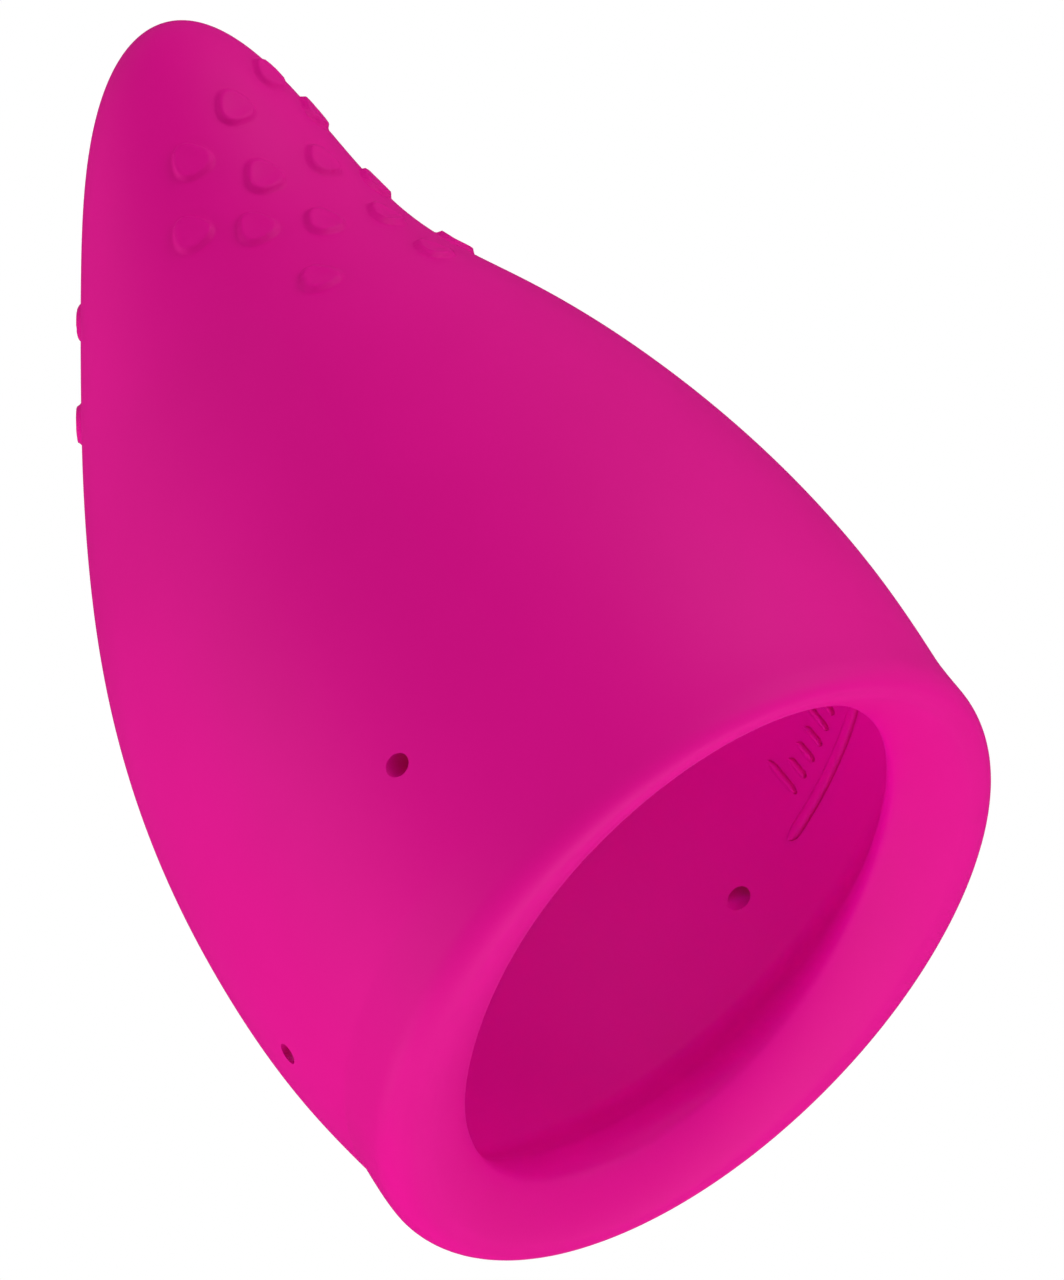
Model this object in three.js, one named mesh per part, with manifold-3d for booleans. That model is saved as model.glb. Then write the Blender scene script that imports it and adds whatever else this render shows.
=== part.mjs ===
// A one-piece silicone menstrual cup, in millimetres, +Z up.
//
// The cup stands mouth down on its rim. Z = 0 is the flat face of the rim, +Z runs up to the
// closed, leaning tip, and the tip leans towards +X. XZ is the plane of symmetry.
// The origin is on the standing plane, under the middle of the cup's bounding box.
//
// The real cup is a single moulding. It is made here as two zones, because its walls bend:
// cup_body (rim, bowl and vent holes) and grip_tail (the solid tip with its raised grips).
// They part on a cylinder about the bending axis, so that the tip can lean either way.

import * as THREE from 'three';
import { mergeVertices } from 'three/addons/utils/BufferGeometryUtils.js';
import Module from 'manifold-3d';

const wasm = await Module();
wasm.setup();

// ---- driving dimensions ----

const RIM_RADIUS = 22;          // outside of the rolled rim
const THROAT_RADIUS = 16.3;     // narrowest part of the mouth, before it is made oval
const LIP_WIDTH = 3.6;          // from the throat to the rim's flat face, across
const LIP_DEPTH = 2.4;          // and along the axis
const LIP_POWER = 1.43;         // 1 is a quarter ellipse, 2 is a straight bevel
const EDGE_WIDTH = 1.5;         // rounding of the rim's outer edge, across
const EDGE_DEPTH = 1.8;         // and along the axis
const MOUTH_OVAL = 1.6;         // the throat is this much wider along X and narrower along Y
const MOUTH_SHIFT = 0.5;        // and its middle is this far towards +X
const CREASE_HEIGHT = 5.0;      // where the rim meets the bowl
const OVERALL_HEIGHT = 62.5;    // rim face to tip
const MOUTH_X = -1.1;           // the mouth's centre, left of the bounding box's middle

const WALL = 1.9;               // bowl wall
const OPEN_HEIGHT = 8;          // where the hollow has opened out behind the lip
const CAVITY_TOP = 42;          // closed end of the hollow
const CAVITY_DOME = 12;         // height of its rounded end

// The bowl from the crease (share 0) to the tip (share 1). A section is a circle whose radius
// is fullness * sqrt(1 - share): equal fullness all the way would be a paraboloid. Its centre
// leans towards +X.
const BOWL_SHARES = [0, 0.1, 0.24, 0.4, 0.56, 0.72, 0.86, 1];
const BOWL_FULLNESS = [21.9, 23.6, 25.3, 26.3, 25.8, 23.7, 23.1, 25.1];
const BOWL_LEAN = [0.7, 1.3, 2.3, 3.6, 5.3, 8.2, 13.8, 19.8];

const BEND_X = 4.5;             // the bending axis runs along Y, relative to the mouth's centre
const BEND_Z = 24;              // and at this height
const PARTING_RADIUS = 21.5;    // the cylinder that parts the tip from the bowl
const PARTING_FOOT = 33;        // everything below this height belongs to the bowl
const PARTING_GAP = 0.3;        // between the two zones
const BEND_STEPS = 72;          // facets around the parting cylinder

const VENT_RADIUS = 0.65;       // vent holes past the rim, all parallel to Y
const VENTS = [                 // x from the mouth's centre, height, and 1 for the +Y wall
  [12.8, 10.9, -1], [-8.3, 10.1, -1], [-9.8, 12.3, 1], [12.8, 10.9, 1],
];

const GRIP_HEIGHT = 0.35;       // how far the raised grips stand out
const GRIP_ARM = 0.7;           // from a grip's middle to the centre of each rounded corner
const GRIP_CORNER = 0.6;        // radius of its corners
const GRIP_ROOT = 1.2;          // how deep it is sunk into the tip
const GRIPS = [                 // degrees from +X, height
  [23, 55.7], [-6.5, 53.8], [37, 53.5], [-30.5, 52.2], [14, 49.3], [-10, 49.2],
  [-38, 48.5], [34, 48.2], [-20.5, 46.3], [-3.5, 44.7], [16.5, 44.4], [34.5, 42.4],
  [-17, 40.5], [13, 39.9], [-123, 53.4], [123, 53.4], [-117, 48.9], [117, 48.9],
];

const ROUND_STEPS = 44;         // facets around the cup
const BOWL_STEPS = 17;          // rings from the tip to the crease
const ARC_STEPS = 4;            // facets on each small rounding
const LIP_STEPS = 6;            // facets on the lip

// ---- materials ----

const silicone = new THREE.MeshStandardMaterial({ color: 0xc8007e, roughness: 0.55, metalness: 0 });

// ---- solids ----

/** A closed three.js geometry as a manifold solid, with vertices in the same place merged. */
function solidFrom(geometry) {
  const bare = geometry.clone();
  bare.deleteAttribute('normal');
  bare.deleteAttribute('uv');
  const merged = mergeVertices(bare, 1e-4);
  const corners = merged.index.array;
  const kept = [];
  for (let i = 0; i < corners.length; i += 3) {
    const [a, b, c] = [corners[i], corners[i + 1], corners[i + 2]];
    if (a !== b && b !== c && c !== a) kept.push(a, b, c);
  }
  return new wasm.Manifold(new wasm.Mesh({
    numProp: 3,
    vertProperties: new Float32Array(merged.attributes.position.array),
    triVerts: new Uint32Array(kept),
  }));
}

/** A manifold solid back as a three.js geometry. */
function geometryFrom(solid) {
  const mesh = solid.getMesh();
  const geometry = new THREE.BufferGeometry();
  geometry.setAttribute('position', new THREE.BufferAttribute(mesh.vertProperties, 3));
  geometry.setIndex(new THREE.BufferAttribute(mesh.triVerts, 1));
  geometry.computeVertexNormals();
  return geometry;
}

/** Points on a quarter turn from (x0, z0) to (x1, z1), leaving (x0, z0) along Z. */
function quarterTurn(x0, z0, x1, z1, power, steps) {
  const points = [];
  for (let i = 0; i <= steps; i += 1) {
    const angle = (Math.PI / 2) * (i / steps);
    const across = Math.cos(angle) ** power;
    const along = Math.sin(angle) ** power;
    points.push([x1 + (x0 - x1) * across, z0 + (z1 - z0) * along]);
  }
  return points;
}

// ---- the bowl's shape ----

const fullnessCurve = new THREE.CubicInterpolant(BOWL_SHARES, BOWL_FULLNESS, 1);
const leanCurve = new THREE.CubicInterpolant(BOWL_SHARES, BOWL_LEAN, 1);

function shareAt(z) {
  return (z - CREASE_HEIGHT) / (OVERALL_HEIGHT - CREASE_HEIGHT);
}

function bowlRadius(z) {
  const share = shareAt(z);
  return fullnessCurve.evaluate(share)[0] * Math.sqrt(Math.max(0, 1 - share));
}

/** How far the section at height z has moved towards +X. The rim's flat face hasn't moved. */
function lean(z) {
  if (z >= CREASE_HEIGHT) return leanCurve.evaluate(shareAt(z))[0];
  const rise = Math.max(0, z) / CREASE_HEIGHT;
  return BOWL_LEAN[0] * rise * rise;
}

/** The outside, from the tip down to the rim's flat face, as [radius, height] pairs. */
function outerProfile() {
  const points = [];
  for (let i = 0; i <= BOWL_STEPS; i += 1) {
    const out = i / BOWL_STEPS;
    const share = 1 - out * out;
    points.push([fullnessCurve.evaluate(share)[0] * out,
      CREASE_HEIGHT + share * (OVERALL_HEIGHT - CREASE_HEIGHT)]);
  }
  for (let i = 1; i < ARC_STEPS; i += 1) {
    const down = i / ARC_STEPS;
    const swell = (1 - Math.cos(Math.PI * down)) / 2;
    points.push([BOWL_FULLNESS[0] + (RIM_RADIUS - BOWL_FULLNESS[0]) * swell,
      CREASE_HEIGHT + (EDGE_DEPTH - CREASE_HEIGHT) * down]);
  }
  return points.concat(quarterTurn(RIM_RADIUS, EDGE_DEPTH, RIM_RADIUS - EDGE_WIDTH, 0, 1, ARC_STEPS));
}

/** The hollow, from the rim's flat face up to the closed end. */
function innerProfile() {
  const face = THROAT_RADIUS + LIP_WIDTH;
  const points = quarterTurn(THROAT_RADIUS, LIP_DEPTH, face, 0, LIP_POWER, LIP_STEPS).reverse();
  const openRadius = bowlRadius(OPEN_HEIGHT) - WALL;
  for (let i = 1; i <= ARC_STEPS; i += 1) {
    const up = i / ARC_STEPS;
    const widen = (1 - Math.cos(Math.PI * up)) / 2;
    points.push([THROAT_RADIUS + (openRadius - THROAT_RADIUS) * widen,
      LIP_DEPTH + (OPEN_HEIGHT - LIP_DEPTH) * up]);
  }
  const domeFoot = CAVITY_TOP - CAVITY_DOME;
  const wallSteps = 6;
  for (let i = 1; i <= wallSteps; i += 1) {
    const z = OPEN_HEIGHT + (domeFoot - OPEN_HEIGHT) * (i / wallSteps);
    points.push([bowlRadius(z) - WALL, z]);
  }
  const domeSteps = 7;
  const footRadius = bowlRadius(domeFoot) - WALL;
  for (let i = 1; i <= domeSteps; i += 1) {
    const z = domeFoot + CAVITY_DOME * Math.sin((Math.PI / 2) * (i / domeSteps));
    const rise = (z - domeFoot) / CAVITY_DOME;
    const follow = (bowlRadius(z) - WALL) / footRadius;
    points.push([footRadius * follow * Math.sqrt(Math.max(0, 1 - rise * rise)), z]);
  }
  return points;
}

/** How far a point of the round shape belongs to the oval mouth: 1 at the throat, 0 outside. */
function mouthShare(radius, z) {
  const inward = THREE.MathUtils.clamp((RIM_RADIUS - radius) / (RIM_RADIUS - THROAT_RADIUS), 0, 1);
  return inward * (1 - THREE.MathUtils.smoothstep(z, LIP_DEPTH, OPEN_HEIGHT));
}

/** Turns [radius, height] pairs about Z, makes the mouth oval and leans it all towards +X. */
function turned(profile) {
  const flipped = profile.map(([radius, z]) => new THREE.Vector2(radius, z)).reverse();
  const geometry = new THREE.LatheGeometry(flipped, ROUND_STEPS);
  geometry.rotateX(Math.PI / 2);
  const place = geometry.attributes.position;
  for (let i = 0; i < place.count; i += 1) {
    const [x, y, z] = [place.getX(i), place.getY(i), place.getZ(i)];
    const radius = Math.hypot(x, y);
    const share = mouthShare(radius, z);
    const stretch = radius > 0 ? 1 + (share * MOUTH_OVAL * (x * x - y * y)) / radius ** 3 : 1;
    place.setXY(i, x * stretch + share * MOUTH_SHIFT + lean(z), y * stretch);
  }
  return solidFrom(geometry);
}

// ---- cuts and raised details ----

/** A cylinder about the bending axis, longer than the cup is wide. */
function bendCylinder(radius) {
  const geometry = new THREE.CylinderGeometry(radius, radius, 4 * RIM_RADIUS, BEND_STEPS);
  geometry.translate(BEND_X, 0, 0);
  return solidFrom(geometry).translate([0, 0, BEND_Z]);
}

/** Everything above the parting's foot that is farther than radius from the bending axis. */
function beyondBend(radius) {
  const side = 6 * RIM_RADIUS;
  const block = new THREE.BoxGeometry(side, side, side);
  block.translate(0, 0, PARTING_FOOT + side / 2);
  return solidFrom(block).subtract(bendCylinder(radius));
}

/** A pin for a round hole through one wall, parallel to Y. It runs from XZ to outside the cup. */
function vent(x, z, side) {
  const length = RIM_RADIUS + WALL;
  const geometry = new THREE.CylinderGeometry(VENT_RADIUS, VENT_RADIUS, length, 16);
  geometry.translate(x, (side * length) / 2, z);
  return solidFrom(geometry);
}

/** A triangle with rounded corners, one corner pointing along +Y. */
function gripOutline() {
  const shape = new THREE.Shape();
  for (let i = 0; i < 3; i += 1) {
    const middle = Math.PI / 2 + (2 * Math.PI * i) / 3;
    const [x, y] = [GRIP_ARM * Math.cos(middle), GRIP_ARM * Math.sin(middle)];
    shape.absarc(x, y, GRIP_CORNER, middle - Math.PI / 3, middle + Math.PI / 3, false);
  }
  return shape;
}

/** A raised grip square to the tip's surface, at an angle from +X and a height. */
function grip(degrees, z) {
  const angle = THREE.MathUtils.degToRad(degrees);
  const step = 0.1;
  const radius = bowlRadius(z);
  const slope = (bowlRadius(z + step) - bowlRadius(z - step)) / (2 * step);
  const tilt = (lean(z + step) - lean(z - step)) / (2 * step);
  const [x, y] = [Math.cos(angle), Math.sin(angle)];
  const outward = new THREE.Vector3(x, y, -slope - tilt * x).normalize();
  const geometry = new THREE.ExtrudeGeometry(gripOutline(), {
    depth: GRIP_ROOT + GRIP_HEIGHT,
    bevelEnabled: false,
    curveSegments: 4,
  });
  const across = new THREE.Vector3(-y, x, 0);
  const along = new THREE.Vector3().crossVectors(outward, across);
  const placed = new THREE.Matrix4().makeBasis(across, along, outward);
  const base = new THREE.Vector3(lean(z) + radius * x, radius * y, z);
  placed.setPosition(base.addScaledVector(outward, -GRIP_ROOT));
  return solidFrom(geometry.applyMatrix4(placed));
}

// ---- the two zones ----

let bowl = turned([...outerProfile(), ...innerProfile()]).subtract(beyondBend(PARTING_RADIUS));
for (const [x, z, side] of VENTS) bowl = bowl.subtract(vent(x, z, side));

let tail = turned([...outerProfile(), [0, 0]]);
for (const [degrees, z] of GRIPS) {
  tail = tail.add(grip(degrees, z));
}
tail = tail.intersect(beyondBend(PARTING_RADIUS + PARTING_GAP));

const cup = new THREE.Group();
cup.name = 'menstrual_cup';
for (const [name, solid] of [['cup_body', bowl], ['grip_tail', tail]]) {
  const mesh = new THREE.Mesh(geometryFrom(solid), silicone);
  mesh.name = name;
  cup.add(mesh);
}
cup.position.x = MOUTH_X;

export default cup;
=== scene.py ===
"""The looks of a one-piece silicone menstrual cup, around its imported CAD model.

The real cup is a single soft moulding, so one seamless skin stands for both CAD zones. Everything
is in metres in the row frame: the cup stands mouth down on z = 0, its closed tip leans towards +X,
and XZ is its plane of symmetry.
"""

import math

import bpy
import numpy as np
from mathutils import Matrix, Vector


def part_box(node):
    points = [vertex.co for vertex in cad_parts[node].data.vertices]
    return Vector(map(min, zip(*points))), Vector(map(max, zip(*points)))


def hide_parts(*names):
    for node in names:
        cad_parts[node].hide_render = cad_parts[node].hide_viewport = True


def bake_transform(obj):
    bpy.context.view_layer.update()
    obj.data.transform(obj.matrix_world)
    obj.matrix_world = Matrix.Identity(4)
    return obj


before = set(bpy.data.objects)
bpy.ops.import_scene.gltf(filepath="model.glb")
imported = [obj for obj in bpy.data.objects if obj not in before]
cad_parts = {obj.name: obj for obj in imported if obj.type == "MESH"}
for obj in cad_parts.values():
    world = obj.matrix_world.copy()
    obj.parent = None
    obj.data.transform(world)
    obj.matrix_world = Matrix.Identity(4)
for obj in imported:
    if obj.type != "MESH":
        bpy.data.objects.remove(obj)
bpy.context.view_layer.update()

MM = 0.001

# ---- driving dimensions, in millimetres, measured from the centre of the mouth ----

RIM_RADIUS = 22.0
TIP_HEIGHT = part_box("grip_tail")[1].z / MM
THROAT_RADIUS = 16.3                     # narrowest part of the mouth, before it is made oval
LIP_WIDTH = 3.6                          # from the throat to the rim's flat face, across
LIP_DEPTH = 2.4                          # and along the axis
LIP_POWER = 1.43                         # 1 is a quarter ellipse, 2 is a straight bevel
EDGE_WIDTH = 1.5                         # rounding of the rim's outer edge, across
EDGE_DEPTH = 1.8                         # and along the axis
MOUTH_OVAL = 1.6                         # the throat is this much wider along X, narrower along Y
MOUTH_SHIFT = 0.5                        # and its middle is this far towards +X
CREASE_HEIGHT = 5.0                      # where the rim meets the bowl

WALL = 1.9
OPEN_HEIGHT = 8.0                        # where the hollow has opened out behind the lip
CAVITY_TOP = 42.0                        # closed end of the hollow
CAVITY_DOME = 12.0                       # height of its rounded end

# The bowl from the crease (share 0) to the tip (share 1): the section's radius is
# fullness * sqrt(1 - share), and its centre leans towards +X.
BOWL_SHARES = (0, 0.1, 0.24, 0.4, 0.56, 0.72, 0.86, 1)
BOWL_FULLNESS = (21.9, 23.6, 25.3, 26.3, 25.8, 23.7, 23.1, 25.1)
BOWL_LEAN = (0.7, 1.3, 2.3, 3.6, 5.3, 8.2, 13.8, 19.8)

VENT_RADIUS = 0.65
VENT_SIDES = 40
VENTS = (                                # x, height, and 1 for the +Y wall
    (12.8, 10.9, -1), (-8.3, 10.1, -1), (-9.8, 12.3, 1), (12.8, 10.9, 1),
)

GRIP_HEIGHT = 0.31
GRIP_EDGE = 0.22                         # width of a grip's sloping edge
GRIP_REACH = 1.32                        # from a grip's middle to its corners, before the cut-back
GRIP_WAIST = 0.07                        # half the share by which its three sides are drawn in
GRIP_BLUNT = 0.05                        # share by which the corner towards the tip is cut back
GRIP_DISH = 0.25                         # share by which its middle is lower than its edge
GRIP_CLEAR = 2.5                         # nothing of a grip is farther than this from its middle
GRIPS = (                                # degrees from +X, height
    (23, 55.7), (-6.5, 53.8), (37, 53.5), (-30.5, 52.2), (14, 49.3), (-10, 49.2),
    (-38, 48.5), (34, 48.2), (-20.5, 46.3), (-3.5, 44.7), (16.5, 44.4), (34.5, 42.4),
    (-17, 40.5), (13, 39.9), (-123, 53.4), (123, 53.4), (-117, 48.9), (117, 48.9),
)

MARK_HEIGHT = 0.3                        # how far the fill mark stands out of the inner wall
MARK_LEVEL = 12.0                        # height of its line
MARK_HALF_ANGLE = 20                     # degrees each side of +Y
MARK_LINE_WIDTH = 0.75
MARK_SECTION = (                         # half widths across, and shares of the height
    (-1, 0.45), (-0.75, 0.85), (-0.35, 1), (0.35, 1), (0.75, 0.85), (1, 0.45),
)
MARK_ENDS = (0.35, 0.8)                  # shares of the width near its ends, which are rounded
MARK_ROOT = 0.4                          # how deep it is sunk into the wall
TICK_FOOT = 13.3                         # height where the ticks start
TICK_STEP = 3.4                          # degrees between ticks
TICKS_EACH_WAY = 4
TICK_LONG = 2.6                          # the middle one and both outermost ones
TICK_SHORT = 1.5
TICK_WIDTH = 0.42

# ---- how fine the skin is ----

AROUND = 448                             # columns of faces round the cup
GRIPS_FOOT = 37                          # the outside has finer rings above this height
RIM_TOP = 7                              # and below this one
LIP_TOP = 9                              # the inside has finer rings below this height
GRIP_STEP = 0.16                         # distance between rings among the grips
RIM_STEP = 0.2                           # round the rim and its lip
OUTER_STEP = 0.55                        # on the rest of the outside
INNER_STEP = 0.6                         # and on the rest of the inside
SHARP_EDGE = math.radians(60)            # a corner sharper than this isn't shaded smooth


# ---- the surface ----

def smooth(x):
    """0 below 0, 1 above 1, and a smooth step between."""
    x = np.clip(x, 0, 1)
    return x * x * (3 - 2 * x)


def natural_spline(xs, ys):
    """The natural cubic spline through the points, as a function of arrays."""
    xs, ys = np.array(xs, float), np.array(ys, float)
    gap, rise = np.diff(xs), np.diff(ys)
    system, right = np.eye(len(xs)), np.zeros(len(xs))
    for i in range(1, len(xs) - 1):
        system[i, i - 1:i + 2] = gap[i - 1], 2 * (gap[i - 1] + gap[i]), gap[i]
        right[i] = 6 * (rise[i] / gap[i] - rise[i - 1] / gap[i - 1])
    bend = np.linalg.solve(system, right)

    def value(x):
        i = np.clip(np.searchsorted(xs, x) - 1, 0, len(xs) - 2)
        after, before = x - xs[i], xs[i + 1] - x
        cubic = (bend[i] * before ** 3 + bend[i + 1] * after ** 3) / (6 * gap[i])
        low = (ys[i] / gap[i] - bend[i] * gap[i] / 6) * before
        high = (ys[i + 1] / gap[i] - bend[i + 1] * gap[i] / 6) * after
        return cubic + low + high

    return value


fullness = natural_spline(BOWL_SHARES, BOWL_FULLNESS)
bowl_lean = natural_spline(BOWL_SHARES, BOWL_LEAN)


def share_at(z):
    """0 at the crease and 1 at the tip."""
    return (z - CREASE_HEIGHT) / (TIP_HEIGHT - CREASE_HEIGHT)


def bowl_radius(z):
    """The outer radius of the bowl at height z."""
    share = np.clip(share_at(z), 0, 1)
    return fullness(share) * np.sqrt(1 - share)


def lean(z):
    """How far the section at height z has moved towards +X."""
    rise = np.clip(z / CREASE_HEIGHT, 0, 1)
    above = bowl_lean(np.clip(share_at(z), 0, 1))
    return np.where(z < CREASE_HEIGHT, BOWL_LEAN[0] * rise ** 2, above)


# The rim's widest ring is what reaches farthest towards -X.
MOUTH_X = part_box("cup_body")[0].x / MM + RIM_RADIUS - float(lean(np.array(EDGE_DEPTH)))


def quarter(x0, z0, x1, z1, power, count):
    """Points on a quarter turn from (x0, z0) to (x1, z1), leaving (x0, z0) along Z."""
    angle = np.linspace(0, math.pi / 2, count)
    across = np.clip(np.cos(angle), 0, 1) ** power
    return np.stack([x1 + (x0 - x1) * across, z0 + (z1 - z0) * np.sin(angle) ** power], 1)


def outer_profile():
    """[radius, height] from the tip down to the rim's flat face."""
    out = np.linspace(0, 1, 400)
    share = 1 - out ** 2
    bowl = np.stack([fullness(share) * out,
                     CREASE_HEIGHT + share * (TIP_HEIGHT - CREASE_HEIGHT)], 1)
    down = np.linspace(0, 1, 40)[1:-1]
    rim = np.stack([BOWL_FULLNESS[0] + (RIM_RADIUS - BOWL_FULLNESS[0]) * smooth(down),
                    CREASE_HEIGHT + (EDGE_DEPTH - CREASE_HEIGHT) * down], 1)
    edge = quarter(RIM_RADIUS, EDGE_DEPTH, RIM_RADIUS - EDGE_WIDTH, 0, 1, 40)
    return np.concatenate([bowl, rim, edge])


def inner_profile():
    """[radius, height] from the rim's flat face up to the closed end of the hollow."""
    lip = quarter(THROAT_RADIUS, LIP_DEPTH, THROAT_RADIUS + LIP_WIDTH, 0, LIP_POWER, 60)[::-1]
    up = np.linspace(0, 1, 60)[1:]
    open_radius = bowl_radius(np.array(OPEN_HEIGHT)) - WALL
    behind = np.stack([THROAT_RADIUS + (open_radius - THROAT_RADIUS) * smooth(up),
                       LIP_DEPTH + (OPEN_HEIGHT - LIP_DEPTH) * up], 1)
    foot = CAVITY_TOP - CAVITY_DOME
    z = np.linspace(OPEN_HEIGHT, foot, 80)[1:]
    wall = np.stack([bowl_radius(z) - WALL, z], 1)
    turn = np.linspace(0, math.pi / 2, 80)[1:]
    z = foot + CAVITY_DOME * np.sin(turn)
    dome = np.stack([(bowl_radius(z) - WALL) * np.cos(turn), z], 1)
    return np.concatenate([lip, behind, wall, dome])


def respaced(profile, spacing):
    """The same line with its points about spacing(z) apart."""
    steps = np.linalg.norm(np.diff(profile, axis=0), axis=1)
    middle = (profile[1:, 1] + profile[:-1, 1]) / 2
    rings = np.concatenate([[0], np.cumsum(steps / spacing(middle))])
    at = np.linspace(0, rings[-1], int(rings[-1]) + 1)
    return np.stack([np.interp(at, rings, profile[:, 0]), np.interp(at, rings, profile[:, 1])], 1)


def outer_spacing(z):
    return np.where(z > GRIPS_FOOT, GRIP_STEP, np.where(z > RIM_TOP, OUTER_STEP, RIM_STEP))


def inner_spacing(z):
    return np.where(z < LIP_TOP, RIM_STEP, INNER_STEP)


def mouth_share(radius, z):
    """How far a point of the round shape belongs to the oval mouth: 1 at the throat, 0 outside."""
    inward = np.clip((RIM_RADIUS - radius) / (RIM_RADIUS - THROAT_RADIUS), 0, 1)
    return inward * (1 - smooth((z - LIP_DEPTH) / (OPEN_HEIGHT - LIP_DEPTH)))


def grid_points(profile):
    """Points of the turned and leaning profile: a row for each ring, a column for each angle."""
    angle = np.linspace(0, 2 * math.pi, AROUND, endpoint=False)
    radius, z = profile[:, :1], profile[:, 1:]
    share = mouth_share(radius, z)
    oval = radius + share * MOUTH_OVAL * np.cos(2 * angle)
    x = lean(z) + share * MOUTH_SHIFT + oval * np.cos(angle)
    return np.stack([x, oval * np.sin(angle), np.broadcast_to(z, x.shape)], 2)


def grid_normals(points):
    """Outward normals of the grid, which runs from the tip round the rim to the hollow's end."""
    around = np.roll(points, -1, 1) - np.roll(points, 1, 1)
    along = np.gradient(points, axis=0)
    normals = np.cross(along, around)
    length = np.linalg.norm(normals, axis=2, keepdims=True)
    return normals / np.maximum(length, 1e-9)


# ---- raised details ----

def grip_rise(u, v):
    """Height of a grip at u across and v up: a rounded triangle with a corner up, slightly dished."""
    angle = np.arctan2(u, v)
    radius = np.hypot(u, v)
    triangle = 1 - GRIP_WAIST + GRIP_WAIST * np.cos(3 * angle)
    outline = GRIP_REACH * triangle * (1 - GRIP_BLUNT * np.cos(angle))
    inside = outline - radius
    pad = smooth(inside / GRIP_EDGE)
    dish = GRIP_DISH * smooth((inside - GRIP_EDGE) / (0.6 * GRIP_REACH))
    return GRIP_HEIGHT * pad * (1 - dish)


def grips_on(points, normals):
    """How far each point of the outside is raised by the grips."""
    rise = np.zeros(points.shape[:2])
    for degrees, z in GRIPS:
        angle = math.radians(degrees)
        radius, shift = float(bowl_radius(np.array(z))), float(lean(np.array(z)))
        middle = np.array([shift + radius * math.cos(angle), radius * math.sin(angle), z])
        apart = np.linalg.norm(points - middle, axis=2)
        outward = normals[np.unravel_index(apart.argmin(), apart.shape)]
        across = np.cross([0, 0, 1], outward)
        across /= np.linalg.norm(across)
        up = np.cross(outward, across)
        local = points - middle
        near = apart < GRIP_CLEAR
        rise = np.where(near, np.maximum(rise, grip_rise(local @ across, local @ up)), rise)
    return rise


# ---- the skin ----

def make_skin():
    """The whole cup as one closed mesh, with its grips as real relief."""
    outside = respaced(outer_profile(), outer_spacing)
    inside = respaced(inner_profile(), inner_spacing)
    points = grid_points(np.concatenate([outside[1:], inside[:-1]]))
    normals = grid_normals(points)
    outer_rows = len(outside) - 1
    rise = grips_on(points[:outer_rows], normals[:outer_rows])
    points[:outer_rows] += normals[:outer_rows] * rise[..., None]
    tip = [lean(np.array(TIP_HEIGHT)), 0, TIP_HEIGHT]
    top = [lean(np.array(CAVITY_TOP)), 0, CAVITY_TOP]
    vertices = np.concatenate([points.reshape(-1, 3), [tip, top]]).astype(float)
    vertices[:, 0] += MOUTH_X
    rows = len(points)
    row, column = np.meshgrid(np.arange(rows - 1), np.arange(AROUND), indexing="ij")
    after = (column + 1) % AROUND
    quads = np.stack([row * AROUND + column, (row + 1) * AROUND + column,
                      (row + 1) * AROUND + after, row * AROUND + after], 2).reshape(-1, 4)
    tip_index, top_index = rows * AROUND, rows * AROUND + 1
    last = (rows - 1) * AROUND
    faces = quads.tolist()
    for i in range(AROUND):
        j = (i + 1) % AROUND
        faces.append([tip_index, i, j])
        faces.append([top_index, last + j, last + i])
    mesh = bpy.data.meshes.new("cup_skin")
    mesh.from_pydata((vertices * MM).tolist(), [], faces)
    mesh.update()
    skin = bpy.data.objects.new("cup_skin", mesh)
    bpy.context.collection.objects.link(skin)
    return skin


def tool_mesh(name, vertices, faces):
    """A closed mesh in millimetres from the mouth's centre, to join to the skin or cut it with."""
    places = np.array(vertices, float) + [MOUTH_X, 0, 0]
    mesh = bpy.data.meshes.new(name)
    mesh.from_pydata((places * MM).tolist(), [], faces)
    tool = bpy.data.objects.new(name, mesh)
    bpy.context.collection.objects.link(tool)
    return tool


def tube(rings, start):
    """Faces of a closed tube through rings of equal length, whose first vertex has index start."""
    around = len(rings[0])
    faces = [[start + k for k in reversed(range(around))]]
    for i in range(len(rings) - 1):
        low, high = start + i * around, start + (i + 1) * around
        faces += [[low + k, low + (k + 1) % around, high + (k + 1) % around, high + k]
                  for k in range(around)]
    last = start + (len(rings) - 1) * around
    return faces + [[last + k for k in range(around)]]


def make_vent_pins():
    """Four round pins parallel to Y, one through each vent."""
    vertices, faces = [], []
    turn = [2 * math.pi * k / VENT_SIDES for k in range(VENT_SIDES)]
    ends = (RIM_RADIUS / 2, 1.2 * RIM_RADIUS)            # inside the hollow, and past the wall
    for x, z, side in VENTS:
        ring = [(x + VENT_RADIUS * math.sin(side * a), z + VENT_RADIUS * math.cos(a)) for a in turn]
        rings = [[(u, side * y, v) for u, v in ring] for y in ends]
        faces += tube(rings, len(vertices))
        vertices += [corner for circle in rings for corner in circle]
    return tool_mesh("vent_pins", vertices, faces)


def bar_rings(places, inward, across, width):
    """Rings of a low rounded bar that follows places on the inner wall, sunk into it."""
    ends = [*MARK_ENDS, *[1.0] * (len(places) - 2 * len(MARK_ENDS)), *reversed(MARK_ENDS)]
    raised = [(side, share * MARK_HEIGHT) for side, share in MARK_SECTION]
    section = [(-1, -MARK_ROOT), *raised, (1, -MARK_ROOT)]
    return [[place + side * width / 2 * end * go + height * into for side, height in section]
            for place, into, go, end in zip(places, inward, across, ends)]


def on_inner_wall(angle, z):
    """The place on the inner wall at an angle from +Y towards +X."""
    radius = float(bowl_radius(np.array(z))) - WALL
    shift = float(lean(np.array(z)))
    return np.array([shift + radius * math.sin(angle), radius * math.cos(angle), z])


def towards_axis(angle):
    """The level direction from the wall at that angle to the bowl's middle."""
    return np.array([-math.sin(angle), -math.cos(angle), 0])


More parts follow.
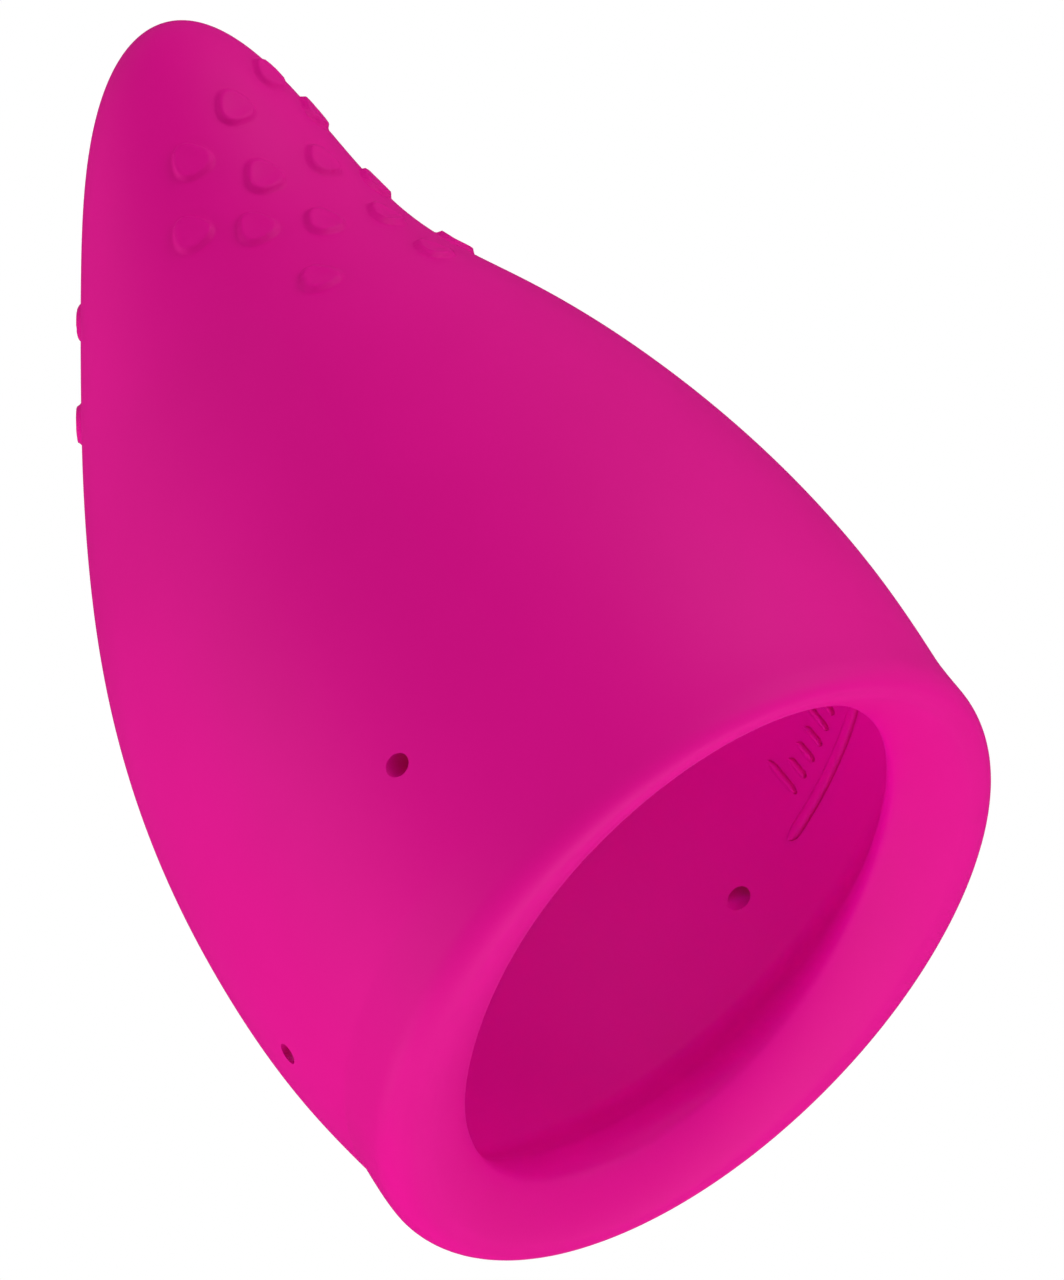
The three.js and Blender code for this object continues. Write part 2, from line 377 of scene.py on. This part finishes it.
def make_mark():
    """The fill mark inside the bowl: a level line with a row of plain ticks above it."""
    vertices, faces = [], []
    angles = np.radians(np.linspace(-MARK_HALF_ANGLE, MARK_HALF_ANGLE, 50))
    down = np.array([0, 0, -1.0])
    line = [on_inner_wall(a, MARK_LEVEL) for a in angles]
    bars = [bar_rings(line, [towards_axis(a) for a in angles], [down] * len(line),
                      MARK_LINE_WIDTH)]
    for i in range(-TICKS_EACH_WAY, TICKS_EACH_WAY + 1):
        angle = math.radians(i * TICK_STEP)
        top = TICK_FOOT + (TICK_LONG if i % TICKS_EACH_WAY == 0 else TICK_SHORT)
        places = [on_inner_wall(angle, z) for z in np.linspace(TICK_FOOT, top, 12)]
        across = np.array([math.cos(angle), -math.sin(angle), 0])
        bars.append(bar_rings(places, [towards_axis(angle)] * len(places),
                              [across] * len(places), TICK_WIDTH))
    for rings in bars:
        faces += tube(rings, len(vertices))
        vertices += [corner for ring in rings for corner in ring]
    return tool_mesh("fill_mark", vertices, faces)


def finish_skin(skin, pins, mark):
    """Cuts the vents, joins the fill mark on, and shades everything but real edges smooth."""
    for tool, operation in ((pins, "DIFFERENCE"), (mark, "UNION")):
        step = skin.modifiers.new(tool.name, "BOOLEAN")
        step.operation = operation
        step.solver = "EXACT"
        step.object = tool
    bpy.context.view_layer.update()
    evaluated = skin.evaluated_get(bpy.context.evaluated_depsgraph_get())
    mesh = bpy.data.meshes.new_from_object(evaluated)
    skin.modifiers.clear()
    skin.data = mesh
    for tool in (pins, mark):
        bpy.data.objects.remove(tool)
    mesh.polygons.foreach_set("use_smooth", [True] * len(mesh.polygons))
    mesh.set_sharp_from_angle(angle=SHARP_EDGE)
    mesh.update()


# ---- materials ----

def silicone():
    """Soft matte silicone: an even colour with slight clouding and a fine moulded grain."""
    material = bpy.data.materials.new("silicone")
    material.use_nodes = True
    nodes, links = material.node_tree.nodes, material.node_tree.links
    shader = nodes["Principled BSDF"]
    place = nodes.new("ShaderNodeTexCoord")
    clouds = nodes.new("ShaderNodeTexNoise")
    clouds.inputs["Scale"].default_value = 70            # a cloud is about 14 mm across
    clouds.inputs["Detail"].default_value = 3
    tint = nodes.new("ShaderNodeValToRGB")
    tint.color_ramp.elements[0].position = 0.3
    tint.color_ramp.elements[0].color = (0.575, 0.0, 0.205, 1)
    tint.color_ramp.elements[1].position = 0.7
    tint.color_ramp.elements[1].color = (0.605, 0.0, 0.219, 1)
    gloss = nodes.new("ShaderNodeMapRange")
    gloss.inputs["To Min"].default_value = 0.5
    gloss.inputs["To Max"].default_value = 0.58
    grain = nodes.new("ShaderNodeTexNoise")
    grain.inputs["Scale"].default_value = 5200           # a grain is about 0.2 mm across
    grain.inputs["Detail"].default_value = 2
    bump = nodes.new("ShaderNodeBump")
    bump.inputs["Strength"].default_value = 0.12
    bump.inputs["Distance"].default_value = 0.04 * MM
    links.new(place.outputs["Object"], clouds.inputs["Vector"])
    links.new(place.outputs["Object"], grain.inputs["Vector"])
    links.new(clouds.outputs["Fac"], tint.inputs["Fac"])
    links.new(clouds.outputs["Fac"], gloss.inputs["Value"])
    links.new(grain.outputs["Fac"], bump.inputs["Height"])
    links.new(tint.outputs["Color"], shader.inputs["Base Color"])
    links.new(gloss.outputs["Result"], shader.inputs["Roughness"])
    links.new(bump.outputs["Normal"], shader.inputs["Normal"])
    shader.inputs["IOR"].default_value = 1.41
    shader.inputs["Specular IOR Level"].default_value = 0.14
    return material


def floor_paint():
    """Pale and matt from above, and clear from below, where the camera looks up at the mouth."""
    material = bpy.data.materials.new("floor_paint")
    material.use_nodes = True
    nodes, links = material.node_tree.nodes, material.node_tree.links
    shader = nodes["Principled BSDF"]
    shader.inputs["Base Color"].default_value = (FLOOR_TONE, FLOOR_TONE, FLOOR_TONE, 1)
    shader.inputs["Roughness"].default_value = 0.7
    clear = nodes.new("ShaderNodeBsdfTransparent")
    side = nodes.new("ShaderNodeNewGeometry")
    mix = nodes.new("ShaderNodeMixShader")
    links.new(side.outputs["Backfacing"], mix.inputs["Fac"])
    links.new(shader.outputs["BSDF"], mix.inputs[1])
    links.new(clear.outputs["BSDF"], mix.inputs[2])
    links.new(mix.outputs["Shader"], nodes["Material Output"].inputs["Surface"])
    return material


# ---- camera, floor and light ----

CAMERA_PLACE = Vector((549.43, -571.50, -426.58))    # millimetres from the mouth's centre
CAMERA_RIGHT = Vector((0.287123, 0.743589, -0.603851))
CAMERA_UP = Vector((0.748657, 0.219053, 0.625722))
CAMERA_BACK = CAMERA_RIGHT.cross(CAMERA_UP)
CAMERA_LENS = 443.4                                   # on a 36 mm sensor

FLOOR_REACH = 0.9                        # metres from the cup to the floor's edges
FLOOR_TONE = 0.9

CUP_MIDDLE = Vector((MOUTH_X + 3, 0, 28)) * MM       # metres, what the soft boxes face
ROOM_SIDE = 2.0                          # metres, a cube of six soft walls of light
ROOM_POWER = 8.6
LIGHT_SIZE = 0.3
LIGHT_DISTANCE = 0.5
# Each soft box: name, how far right, up and back it is as the camera sees it, watts, and
# whether a glossy surface may show it.
LIGHTS = (
    ("left", -1.0, 0.0, 0.25, 0.72, False),
    ("below", 0.0, -1.0, 0.25, 0.68, False),
    ("high_right", 0.7, 0.7, 0.25, 1.2, False),
    ("low_left", -0.7, -0.7, 0.25, 0.81, True),
    ("low_right", 0.7, -0.7, 0.25, 1.0, True),
)
GLOW_PLACE = Vector((5, 0, 13))          # millimetres from the mouth's centre
GLOW_POWER = 0.01
GLOW_COLOUR = (0.6, 0.6, 1.0)
GLOW_RADIUS = 0.005                      # metres


def make_camera():
    data = bpy.data.cameras.new("camera")
    data.sensor_width = 36
    data.lens = CAMERA_LENS
    data.clip_start = 0.01
    data.clip_end = 20
    camera = bpy.data.objects.new("camera", data)
    bpy.context.collection.objects.link(camera)
    turn = Matrix((CAMERA_RIGHT, CAMERA_UP, CAMERA_BACK)).transposed().to_4x4()
    place = (CAMERA_PLACE + Vector((MOUTH_X, 0, 0))) * MM
    camera.matrix_world = Matrix.Translation(place) @ turn
    bpy.context.scene.camera = camera


def make_floor():
    far = FLOOR_REACH
    mesh = bpy.data.meshes.new("floor")
    corners = [(-far, -far, 0), (far, -far, 0), (far, far, 0), (-far, far, 0)]
    mesh.from_pydata(corners, [], [(0, 1, 2, 3)])
    mesh.materials.append(floor_paint())
    floor = bpy.data.objects.new("floor", mesh)
    bpy.context.collection.objects.link(floor)
    floor.visible_shadow = False
    floor.visible_diffuse = False
    floor.visible_glossy = False


def add_light(name, kind, power, glossy):
    data = bpy.data.lights.new(name, kind)
    data.energy = power
    light = bpy.data.objects.new(name, data)
    bpy.context.collection.objects.link(light)
    light.visible_camera = False
    light.visible_glossy = glossy
    return light


def soft_box(name, away, distance, size, power, glossy):
    """A square light at a distance from the cup's middle, in direction away, facing it."""
    light = add_light(name, "AREA", power, glossy)
    light.data.size = size
    light.location = CUP_MIDDLE + away * distance
    light.rotation_euler = away.to_track_quat("Z", "Y").to_euler()


def make_light():
    """An even room of light, five soft boxes, and a lamp for what shines through thin walls."""
    world = bpy.data.worlds.new("studio")
    world.use_nodes = True
    nodes, links = world.node_tree.nodes, world.node_tree.links
    path = nodes.new("ShaderNodeLightPath")
    nodes["Background"].inputs["Color"].default_value = (1, 1, 1, 1)
    links.new(path.outputs["Is Camera Ray"], nodes["Background"].inputs["Strength"])
    bpy.context.scene.world = world
    for axis, name in enumerate("xyz"):
        for side in (-1, 1):
            away = Vector([side if i == axis else 0 for i in range(3)])
            soft_box(f"room_{name}{side}", away, ROOM_SIDE / 2, ROOM_SIDE, ROOM_POWER, False)
    for name, right, up, back, power, glossy in LIGHTS:
        away = (CAMERA_RIGHT * right + CAMERA_UP * up + CAMERA_BACK * back).normalized()
        soft_box(name, away, LIGHT_DISTANCE, LIGHT_SIZE, power, glossy)
    glow = add_light("glow", "POINT", GLOW_POWER, False)
    glow.data.color = GLOW_COLOUR
    glow.data.shadow_soft_size = GLOW_RADIUS
    glow.location = (GLOW_PLACE + Vector((MOUTH_X, 0, 0))) * MM
    bpy.context.scene.view_settings.view_transform = "Standard"


make_camera()
make_floor()
make_light()

skin = make_skin()
finish_skin(skin, make_vent_pins(), make_mark())
skin.data.materials.clear()
skin.data.materials.append(silicone())
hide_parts("cup_body", "grip_tail")
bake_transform(skin)
